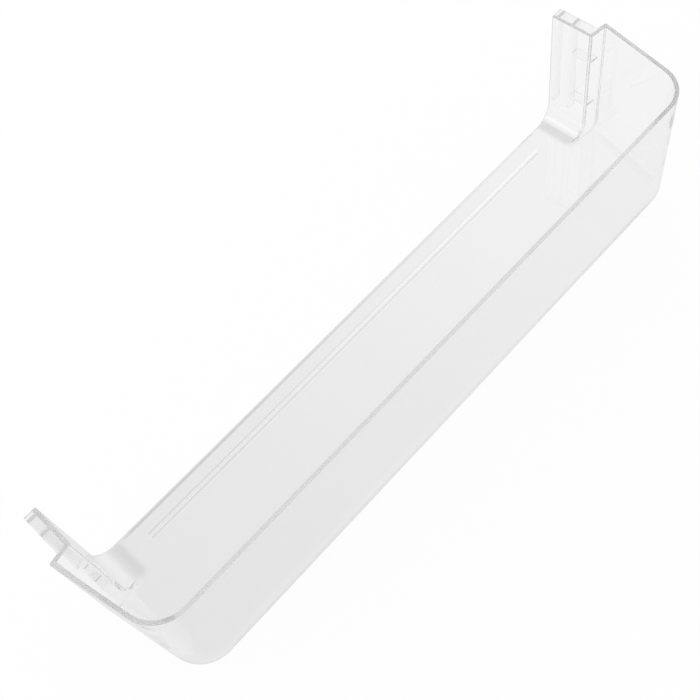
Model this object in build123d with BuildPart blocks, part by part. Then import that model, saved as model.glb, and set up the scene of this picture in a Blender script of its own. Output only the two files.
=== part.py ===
from build123d import *
import os
from math import radians, tan

# Overall sizes of the shelf in millimetres, over its corners before they are rounded
length = 450.0
depth = 100.0
height = 95.0

# Thicknesses, mould draft and edge rounding
wall = 2.6
floor = 2.6
draft = 0.4
edge_radius = 0.5

# Tray: round front corners, end walls that turn in towards the front, rounded foot of the walls
corner_radius = 23.5
end_splay = 10.2
foot_radius = 7.0
outer_foot_radius = 8.0

# Hook ends: each tab stands inboard of its end wall, behind a short jog with rounded corners
jog_depth = 14.5
jog_radius = 1.2
tab_length = 27.6
tab_foot_radius = 13.0
hook_depth = 5.4
cap_thickness = 2.2

# Upright ribs on the outer face of a tab, with the slot for the door's lug between them
rib_wall = 2.2
rib_setback = 1.8
slot_top_width = 9.0
slot_mouth_width = 10.2
rib_end_height = 20.5

# Level webs between the front rib and the jog
web_wall = 1.8
web_heights = (72.2, 33.5)

# Raised bead along the rear of the floor
bead_end_gap = 29.0
bead_width = 3.1
bead_height = 1.3
bead_radius = 1.1
bead_setback = 13.1

# Places worked out from the sizes above
rear = depth / 2
front = -depth / 2
tab_inner = length / 2 - jog_depth
tab_outer = tab_inner + wall
hook_root = tab_outer - wall / 2
hook_edge = tab_outer + hook_depth
jog_rear = rear - tab_length
jog_start = tab_inner - tab_foot_radius - wall
slot_rear = rear - rib_setback - rib_wall
bead_length = 2 * (tab_inner - bead_end_gap)
splay = tan(radians(end_splay))
slope = tan(radians(draft))


def jog_face(x):
    """Place of the jog's rear face, which is square to the end wall, at x from the middle."""
    return jog_rear - (x - tab_outer) * splay


def tray_plan(inset):
    """Plan of the tray at the rim, without the tabs, moved in by inset from the outer faces."""
    end_corner = (length / 2, jog_face(length / 2))
    front_corner = (length / 2 - (end_corner[1] - front) * splay, front)
    half = [(jog_start, jog_face(jog_start)), end_corner, front_corner]
    with BuildSketch(Plane.XY.offset(height)) as plan:
        with BuildLine():
            Polyline(*half, *[(-x, y) for x, y in reversed(half)], close=True)
        make_face()
        fillet(plan.vertices().group_by(Axis.Y)[0], corner_radius)
        if inset:
            offset(amount=-inset, kind=Kind.INTERSECTION, mode=Mode.REPLACE)
    return plan.sketch


def foot_edges(block):
    """Bottom edges of a tray block along its front, round corners and ends, as far as the jogs."""
    return block.edges().group_by(Axis.Z)[0].filter_by_position(Axis.Y, front, jog_face(length / 2) - wall)


def jog_corners(block):
    """Edges of a tray block's jogs: down the end walls, round the foot of these and along the bottom."""
    jogs = block.faces().filter_by(lambda face: face.normal_at().Y > 0.5 and abs(face.center().X) > jog_start)
    below_rim = jogs.edges().filter_by_position(Axis.Z, 0, height - wall)
    return below_rim.filter_by(lambda edge: abs(edge.center().X) > jog_start + wall)


def tab_section(half_width, bottom, radius):
    """Upright section from tab to tab, on the rear plane."""
    foot = half_width - (height - bottom) * slope
    with BuildSketch(Plane.XZ.offset(-rear)) as section:
        with BuildLine():
            Polyline((-half_width, height), (-foot, bottom), (foot, bottom), (half_width, height), close=True)
        make_face()
        fillet(section.vertices().group_by(Axis.Y)[0], radius)
    return section.sketch


def plate_to_jog(level, plate_rear):
    """Level outline on a tab's outer face, from plate_rear forward into the jog."""
    with BuildSketch(Plane.XY.offset(level)) as plate:
        with BuildLine():
            Polyline(
                (hook_root, plate_rear),
                (hook_edge, plate_rear),
                (hook_edge, jog_face(hook_edge) - wall / 2),
                (hook_root, jog_face(hook_root) - wall / 2),
                close=True,
            )
        make_face()
    return plate.sketch


# Space inside the tray, open at the top and the rear
with BuildPart() as inside:
    extrude(tray_plan(wall), amount=-(height - floor), taper=draft)
    fillet(foot_edges(inside), foot_radius)
    fillet(jog_corners(inside), jog_radius)
    extrude(tab_section(tab_inner, floor, tab_foot_radius), amount=rear)

# Hook on the right-hand tab: cap, two ribs and two webs
with BuildPart() as hook:
    extrude(plate_to_jog(height, rear), amount=-cap_thickness)
    with BuildSketch(Plane.YZ.offset(hook_root)) as rib_outline:
        with BuildLine():
            Polyline(
                (slot_rear, height),
                (slot_rear + rib_wall, height),
                (slot_rear + rib_wall, rib_end_height),
                (slot_rear, rib_end_height),
                close=True,
            )
        make_face()
        with BuildLine():
            Polyline(
                (slot_rear - slot_top_width, height),
                (slot_rear - slot_mouth_width, rib_end_height),
                (slot_rear - slot_mouth_width - rib_wall, rib_end_height),
                (slot_rear - slot_top_width - rib_wall, height),
                close=True,
            )
        make_face()
    extrude(amount=hook_edge - hook_root)
    for web_height in web_heights:
        extrude(plate_to_jog(web_height, slot_rear - slot_mouth_width - rib_wall / 2), amount=-web_wall)

# The shelf, one clear moulding
with BuildPart() as shelf:
    extrude(tray_plan(0), amount=-height, taper=draft)
    fillet(foot_edges(shelf), outer_foot_radius)
    fillet(jog_corners(shelf), jog_radius)
    extrude(tab_section(tab_outer, 0, tab_foot_radius + wall), amount=rear)
    add(inside.part, mode=Mode.SUBTRACT)
    add(hook.part)
    mirror(hook.part, about=Plane.YZ)
    top_edges = shelf.faces().sort_by(Axis.Z)[-1].edges()
    rim_edges = [edge for edge in top_edges if abs(abs(edge.center().X) - hook_edge) > edge_radius]
    rear_edges = shelf.faces().sort_by(Axis.Y)[-1].edges()
    fillet(set(rim_edges + rear_edges), edge_radius)
    with BuildSketch(Plane.XY.offset(floor)) as bead_plan:
        with Locations((0, rear - bead_setback)):
            SlotOverall(bead_length, bead_width)
    extrude(amount=bead_height)
    fillet(shelf.faces(Select.LAST).sort_by(Axis.Z)[-1].edges(), bead_radius)

shelf.part.label = "door_shelf"
os.makedirs("parts", exist_ok=True)
export_step(shelf.part, "parts/door_shelf.step")
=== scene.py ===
from math import radians

import bpy
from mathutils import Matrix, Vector


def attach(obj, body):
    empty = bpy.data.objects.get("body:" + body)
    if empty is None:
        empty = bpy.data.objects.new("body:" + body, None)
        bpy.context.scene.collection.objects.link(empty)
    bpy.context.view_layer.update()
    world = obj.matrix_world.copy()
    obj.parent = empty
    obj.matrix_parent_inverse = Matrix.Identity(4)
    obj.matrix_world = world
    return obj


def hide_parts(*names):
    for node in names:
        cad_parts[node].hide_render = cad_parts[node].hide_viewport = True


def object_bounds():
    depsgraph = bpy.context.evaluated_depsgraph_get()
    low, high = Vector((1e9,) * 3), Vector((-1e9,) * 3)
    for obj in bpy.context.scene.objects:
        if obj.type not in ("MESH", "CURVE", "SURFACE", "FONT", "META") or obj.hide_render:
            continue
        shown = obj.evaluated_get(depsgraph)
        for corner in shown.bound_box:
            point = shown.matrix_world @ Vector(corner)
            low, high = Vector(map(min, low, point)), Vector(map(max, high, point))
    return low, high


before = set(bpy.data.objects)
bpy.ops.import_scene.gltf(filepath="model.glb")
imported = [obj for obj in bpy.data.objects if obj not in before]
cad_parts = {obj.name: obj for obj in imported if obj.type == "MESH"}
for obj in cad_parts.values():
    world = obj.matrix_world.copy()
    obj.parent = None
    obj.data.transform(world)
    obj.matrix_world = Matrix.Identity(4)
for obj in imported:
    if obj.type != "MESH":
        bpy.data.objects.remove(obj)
cad_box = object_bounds()


# Shelf: the tray, its walls, the tabs and the hooks are one clear injection moulding.
# Polystyrene is shot into a polished steel mould, so it comes out glossy with small edge rounds.
# It hangs by the two hooks, and nothing is fixed to it.
merge_distance = 0.000001
sharp_edge_angle = radians(60)
large_face_weight = 100
bpy.ops.object.select_all(action="DESELECT")
cad_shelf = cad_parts["door_shelf"]
cad_shelf.select_set(True)
bpy.context.view_layer.objects.active = cad_shelf
bpy.ops.object.duplicate()
shelf = bpy.context.view_layer.objects.active
shelf.name = "clear_shelf"
bpy.ops.object.mode_set(mode="EDIT")
bpy.ops.mesh.select_all(action="SELECT")
bpy.ops.mesh.remove_doubles(threshold=merge_distance)
bpy.ops.object.mode_set(mode="OBJECT")
bpy.ops.mesh.customdata_custom_splitnormals_clear()
bpy.ops.object.shade_smooth_by_angle(angle=sharp_edge_angle)
bpy.ops.object.modifier_add(type="WEIGHTED_NORMAL")
flat_walls = shelf.modifiers[-1]
flat_walls.weight = large_face_weight
flat_walls.keep_sharp = True
bpy.ops.object.modifier_apply(modifier=flat_walls.name)


def linear(hex_colour):
    """sRGB hex colour as linear red, green, blue and alpha."""
    channels = [int(hex_colour[i : i + 2], 16) / 255 for i in (1, 3, 5)]
    return [c / 12.92 if c <= 0.04045 else ((c + 0.055) / 1.055) ** 2.4 for c in channels] + [1.0]


def add_node(tree, kind, values=None, links=None, **settings):
    """One node with its settings, socket values and the sockets that feed it."""
    node = tree.nodes.new(kind)
    for name, value in settings.items():
        setattr(node, name, value)
    for socket, value in (values or {}).items():
        node.inputs[socket].default_value = value
    for socket, source in (links or {}).items():
        tree.links.new(source, node.inputs[socket])
    return node


# Clear polystyrene from a polished mould: sharp reflections, with a faint unevenness from the flow.
# The top of the rim is duller than the walls, so it shows as a soft grey band, and thick places are
# a little greyer than thin ones.
polystyrene_tint = linear("#fcfcfc")
polystyrene_ior = 1.59
grey_by_depth = 0.15
flow_mm = 12.0
flow_low, flow_high = 0.3, 0.7
least_rough, most_rough = 0.01, 0.05
rim_height = cad_box[1][2]
rim_start, rim_full = rim_height - 0.00015, rim_height - 0.00005
rim_dullness = 0.2
polystyrene = bpy.data.materials.new("moulded_clear_polystyrene")
polystyrene.use_nodes = True
tree = polystyrene.node_tree
tree.nodes.clear()
place = add_node(tree, "ShaderNodeTexCoord").outputs["Object"]
flow = add_node(
    tree,
    "ShaderNodeTexNoise",
    {"Scale": 1000 / flow_mm, "Detail": 4.0, "Roughness": 0.6},
    {"Vector": place},
).outputs["Fac"]
wall_roughness = add_node(
    tree,
    "ShaderNodeMapRange",
    {"From Min": flow_low, "From Max": flow_high, "To Min": least_rough, "To Max": most_rough},
    {"Value": flow},
).outputs["Result"]
height = add_node(tree, "ShaderNodeSeparateXYZ", links={0: place}).outputs["Z"]
added_on_rim = add_node(
    tree,
    "ShaderNodeMapRange",
    {"From Min": rim_start, "From Max": rim_full, "To Min": 0.0, "To Max": rim_dullness},
    {"Value": height},
).outputs["Result"]
roughness = add_node(
    tree, "ShaderNodeMath", links={0: wall_roughness, 1: added_on_rim}, operation="ADD"
).outputs[0]
surface = add_node(
    tree,
    "ShaderNodeBsdfPrincipled",
    {"Base Color": polystyrene_tint, "IOR": polystyrene_ior, "Transmission Weight": 1.0},
    {"Roughness": roughness},
).outputs["BSDF"]
wall_tint = add_node(
    tree, "ShaderNodeVolumeAbsorption", {"Color": linear("#000000"), "Density": grey_by_depth}
).outputs[0]
add_node(tree, "ShaderNodeOutputMaterial", links={"Surface": surface, "Volume": wall_tint})

shelf.data.materials.clear()
shelf.data.materials.append(polystyrene)
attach(shelf, "root")
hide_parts("door_shelf")


# Floor: the white paper that the shelf stands on, wide enough to fill the picture.
# It shows its tone mostly by itself and takes little shadow, so what the clear shelf casts on it, soft
# bands and fine lines of shadow and gathered light, is painted on it.
floor_size = 6.0
air_gap = 0.0003
bpy.ops.mesh.primitive_plane_add(size=floor_size, location=(0, 0, -air_gap))
paper_floor = bpy.context.view_layer.objects.active
paper_floor.name = "paper_floor"

# Matt white paper: no gloss, so its tone changes only with light and shadow.
# The camera sees it white, with a faint shadow, and the plastic shows it light grey.
paper_white = linear("#f4f4f4")
shadow_share = 0.04
paper = bpy.data.materials.new("matt_white_paper")
paper.use_nodes = True
tree = paper.node_tree
tree.nodes.clear()
ray = add_node(tree, "ShaderNodeLightPath").outputs
seen_or_mirrored = add_node(
    tree, "ShaderNodeMath", links={0: ray["Is Camera Ray"], 1: ray["Is Glossy Ray"]}, operation="MAXIMUM"
).outputs[0]
shows_tone = add_node(
    tree, "ShaderNodeMath", links={0: seen_or_mirrored, 1: ray["Is Transmission Ray"]}, operation="MAXIMUM"
).outputs[0]
tone_share = add_node(
    tree, "ShaderNodeMath", {1: 1 - shadow_share}, {0: shows_tone}, operation="MULTIPLY"
).outputs[0]
lit_paper = add_node(tree, "ShaderNodeBsdfDiffuse", {"Color": paper_white}).outputs[0]

# Painted shade: under the shelf the paper is darker than in the open, and gets lighter towards the
# right-hand end.
rear = cad_box[1][1]
left_place, right_place = -0.25, 0.3
left_grey, right_grey = 0.872, 0.952
open_grey = 0.945
behind_start, behind_full = rear, rear + 0.01
beside_start, beside_full = -0.205, -0.22
place = add_node(tree, "ShaderNodeTexCoord").outputs["Object"]
along, across = add_node(tree, "ShaderNodeSeparateXYZ", links={0: place}).outputs[:2]
painted_shelf_shade = add_node(
    tree,
    "ShaderNodeMapRange",
    {"From Min": left_place, "From Max": right_place, "To Min": left_grey, "To Max": right_grey},
    {"Value": along},
).outputs["Result"]
behind = add_node(
    tree, "ShaderNodeMapRange", {"From Min": behind_start, "From Max": behind_full}, {"Value": across}
).outputs["Result"]
beside = add_node(
    tree, "ShaderNodeMapRange", {"From Min": beside_start, "From Max": beside_full}, {"Value": along}
).outputs["Result"]
open_share = add_node(tree, "ShaderNodeMath", links={0: behind, 1: beside}, operation="MAXIMUM").outputs[0]
in_the_open = add_node(
    tree, "ShaderNodeMath", {1: open_grey}, {0: open_share}, operation="MULTIPLY"
).outputs[0]
grey = add_node(tree, "ShaderNodeMath", links={0: painted_shelf_shade, 1: in_the_open}, operation="MAXIMUM").outputs[0]

# Painted shade: mirrored in the shelf's outside the paper is darker, and so it is after many turns inside
# the walls.
mirror_loss = 0.12
first_turn, last_turn = 1.0, 5.0
trapped_share = 0.76
only_mirrored = add_node(
    tree,
    "ShaderNodeMath",
    links={0: ray["Is Glossy Ray"], 1: ray["Is Transmission Ray"]},
    operation="SUBTRACT",
    use_clamp=True,
).outputs[0]
mirrored = add_node(
    tree, "ShaderNodeMath", {1: -mirror_loss, 2: 1.0}, {0: only_mirrored}, operation="MULTIPLY_ADD"
).outputs[0]
trapped = add_node(
    tree,
    "ShaderNodeMapRange",
    {"From Min": first_turn, "From Max": last_turn, "To Min": 1.0, "To Max": trapped_share},
    {"Value": ray["Glossy Depth"]},
).outputs["Result"]
trapped = add_node(
    tree, "ShaderNodeMath", links={0: trapped, 1: only_mirrored}, operation="MAXIMUM"
).outputs[0]
for loss in (mirrored, trapped):
    grey = add_node(tree, "ShaderNodeMath", links={0: grey, 1: loss}, operation="MULTIPLY").outputs[0]

# Each tab's shadow is painted as a soft dark band where its foot curves into the floor, a little to the
# right of the foot.
shadow_shift = 0.0025
foot_middle = 0.2015
band_core, band_reach = 0.002, 0.0075
foot_shadow_depth = 0.13
tab_start, tab_full = 0.02, 0.027
shifted = add_node(tree, "ShaderNodeMath", {1: shadow_shift}, {0: along}, operation="SUBTRACT").outputs[0]
outward = add_node(tree, "ShaderNodeMath", links={0: shifted}, operation="ABSOLUTE").outputs[0]
past_foot = add_node(
    tree, "ShaderNodeMath", {1: foot_middle}, {0: outward}, operation="SUBTRACT"
).outputs[0]
off_foot = add_node(tree, "ShaderNodeMath", links={0: past_foot}, operation="ABSOLUTE").outputs[0]
under_foot = add_node(
    tree,
    "ShaderNodeMapRange",
    {"From Min": band_core, "From Max": band_reach, "To Min": foot_shadow_depth, "To Max": 0.0},
    {"Value": off_foot},
    interpolation_type="SMOOTHSTEP",
).outputs["Result"]
under_tab = add_node(
    tree,
    "ShaderNodeMapRange",
    {"From Min": tab_start, "From Max": tab_full},
    {"Value": across},
    interpolation_type="SMOOTHSTEP",
).outputs["Result"]
shade = add_node(
    tree, "ShaderNodeMath", links={0: under_foot, 1: under_tab}, operation="MULTIPLY"
).outputs[0]

# Between the tabs a painted shadow line lies under the rear edge and one under the front foot, and two
# under the bead. All but the front one fade towards the right-hand end, where the bead's two give way to a
# painted line of gathered light.
front = cad_box[0][1]
bead_middle = rear - 0.0131
bead_end = 0.1815
edge_fade, edge_end = 0.188, 0.196
fade_start, fade_end = -0.1, 0.15
faded_share = 0.2
line_shadow_share = add_node(
    tree,
    "ShaderNodeMapRange",
    {"From Min": fade_start, "From Max": fade_end, "To Min": 1.0, "To Max": faded_share},
    {"Value": along},
).outputs["Result"]
on_bead = add_node(tree, "ShaderNodeMath", {1: bead_end}, {0: outward}, operation="LESS_THAN").outputs[0]
bead_shadow_share = add_node(
    tree, "ShaderNodeMath", links={0: line_shadow_share, 1: on_bead}, operation="MULTIPLY"
).outputs[0]
bead_light_share = add_node(
    tree, "ShaderNodeMath", links={0: on_bead, 1: bead_shadow_share}, operation="SUBTRACT"
).outputs[0]
on_edge = add_node(
    tree,
    "ShaderNodeMapRange",
    {"From Min": edge_fade, "From Max": edge_end, "To Min": 1.0, "To Max": 0.0},
    {"Value": outward},
).outputs["Result"]
edge_shadow_share = add_node(
    tree, "ShaderNodeMath", links={0: line_shadow_share, 1: on_edge}, operation="MULTIPLY"
).outputs[0]
# Each line is painted shadow, or painted gathered light where its depth is below zero.
for line_middle, half_width, dark, share in (
    (rear - 0.0009, 0.0011, 0.24, edge_shadow_share),
    (front + 0.0022, 0.003, 0.13, on_edge),
    (bead_middle - 0.0004, 0.0008, 0.3, bead_shadow_share),
    (bead_middle + 0.0026, 0.0008, 0.3, bead_shadow_share),
    (bead_middle + 0.0019, 0.0012, -0.16, bead_light_share),
):
    past_line = add_node(
        tree, "ShaderNodeMath", {1: line_middle}, {0: across}, operation="SUBTRACT"
    ).outputs[0]
    off_line = add_node(tree, "ShaderNodeMath", links={0: past_line}, operation="ABSOLUTE").outputs[0]
    line = add_node(
        tree,
        "ShaderNodeMapRange",
        {"From Min": half_width / 3, "From Max": half_width, "To Min": dark, "To Max": 0.0},
        {"Value": off_line},
        interpolation_type="SMOOTHSTEP",
    ).outputs["Result"]
    line = add_node(tree, "ShaderNodeMath", links={0: line, 1: share}, operation="MULTIPLY").outputs[0]
    shade = add_node(tree, "ShaderNodeMath", links={0: shade, 1: line}, operation="ADD").outputs[0]
grey = add_node(tree, "ShaderNodeMath", links={0: grey, 1: shade}, operation="SUBTRACT").outputs[0]

tone = add_node(
    tree, "ShaderNodeMath", links={0: grey, 1: ray["Is Camera Ray"]}, operation="MAXIMUM"
).outputs[0]
toned_paper = add_node(
    tree, "ShaderNodeEmission", {"Color": linear("#ffffff")}, {"Strength": tone}
).outputs[0]
paper_surface = add_node(
    tree, "ShaderNodeMixShader", links={0: tone_share, 1: lit_paper, 2: toned_paper}
).outputs[0]
add_node(tree, "ShaderNodeOutputMaterial", links={"Surface": paper_surface})
paper_floor.data.materials.append(paper)


# Studio: a soft bright room, darker overhead, so that edges that mirror the ceiling draw grey lines.
# One softbox, behind and to the right of the shelf, lights only the paper. The other, a wide one over
# the left-hand end, is also mirrored in the plastic. The camera sees a white room.
ceiling_direction = (-0.25, 0.35, 0.9)
ceiling_edge, ceiling_middle = 0.68, 1.0
room_level, ceiling_level = 0.9, 0.35
room = bpy.data.worlds.new("studio_room")
room.use_nodes = True
tree = room.node_tree
tree.nodes.clear()
ray = add_node(tree, "ShaderNodeLightPath").outputs
direction = add_node(tree, "ShaderNodeTexCoord").outputs["Generated"]
to_ceiling = add_node(
    tree, "ShaderNodeVectorMath", {1: ceiling_direction}, {0: direction}, operation="DOT_PRODUCT"
).outputs["Value"]
level = add_node(
    tree,
    "ShaderNodeMapRange",
    {"From Min": ceiling_edge, "From Max": ceiling_middle, "To Min": room_level, "To Max": ceiling_level},
    {"Value": to_ceiling},
    interpolation_type="SMOOTHSTEP",
).outputs["Result"]

# Light that has turned more than once inside the walls comes from all round, so it has one level.
second_turn = 2.0
trapped_level = 0.85
trapped = add_node(
    tree,
    "ShaderNodeMapRange",
    {"From Min": first_turn, "From Max": second_turn},
    {"Value": ray["Glossy Depth"]},
).outputs["Result"]
level = add_node(
    tree, "ShaderNodeMix", {"B": trapped_level}, {"Factor": trapped, "A": level}
).outputs["Result"]
dim = add_node(tree, "ShaderNodeBackground", {"Color": linear("#ffffff")}, {"Strength": level}).outputs[0]
bright = add_node(tree, "ShaderNodeBackground", {"Color": linear("#ffffff"), "Strength": 1.0}).outputs[0]
room_light = add_node(
    tree, "ShaderNodeMixShader", links={0: ray["Is Camera Ray"], 1: dim, 2: bright}
).outputs[0]
add_node(tree, "ShaderNodeOutputWorld", links={"Surface": room_light})
bpy.context.scene.world = room

for name, stand, size, watts, mirrored in (
    ("rear_softbox", Vector((0.65, 0.85, 0.7)), (0.7, 0.5), 2.6, False),
    ("left_softbox", Vector((-0.8, 0.28, 0.8)), (0.8, 0.9), 2.8, True),
):
    bpy.ops.object.light_add(type="AREA", location=stand, rotation=stand.to_track_quat("Z", "Y").to_euler())
    softbox = bpy.context.view_layer.objects.active
    softbox.name = name
    softbox.data.shape = "RECTANGLE"
    softbox.data.size, softbox.data.size_y = size
    softbox.data.energy = watts
    softbox.visible_transmission = False
    softbox.visible_glossy = mirrored

# Light goes to and fro many times inside the walls before it comes out at an edge.
wall_bounces = 400
paper_bounces = 16
cycles = bpy.context.scene.cycles
cycles.max_bounces = cycles.glossy_bounces = cycles.transmission_bounces = wall_bounces
cycles.diffuse_bounces = paper_bounces


# Camera: stands in front of the left-hand end and looks down along the tray, as in the photograph.
# Its place, turn and lens were fitted to the corners and edges that the photograph shows.
camera_place = (-0.19054, -0.247, 0.57832)
camera_turn = [radians(angle) for angle in (28.855, 7.857, -46.606)]
sensor_width_mm = 36.0
focal_length_mm = 54.06
nearest_seen = 0.01
bpy.ops.object.camera_add(location=camera_place, rotation=camera_turn)
camera = bpy.context.view_layer.objects.active
camera.data.sensor_width = sensor_width_mm
camera.data.lens = focal_length_mm
camera.data.clip_start = nearest_seen
bpy.context.scene.camera = camera

bpy.context.scene.view_settings.view_transform = "Standard"
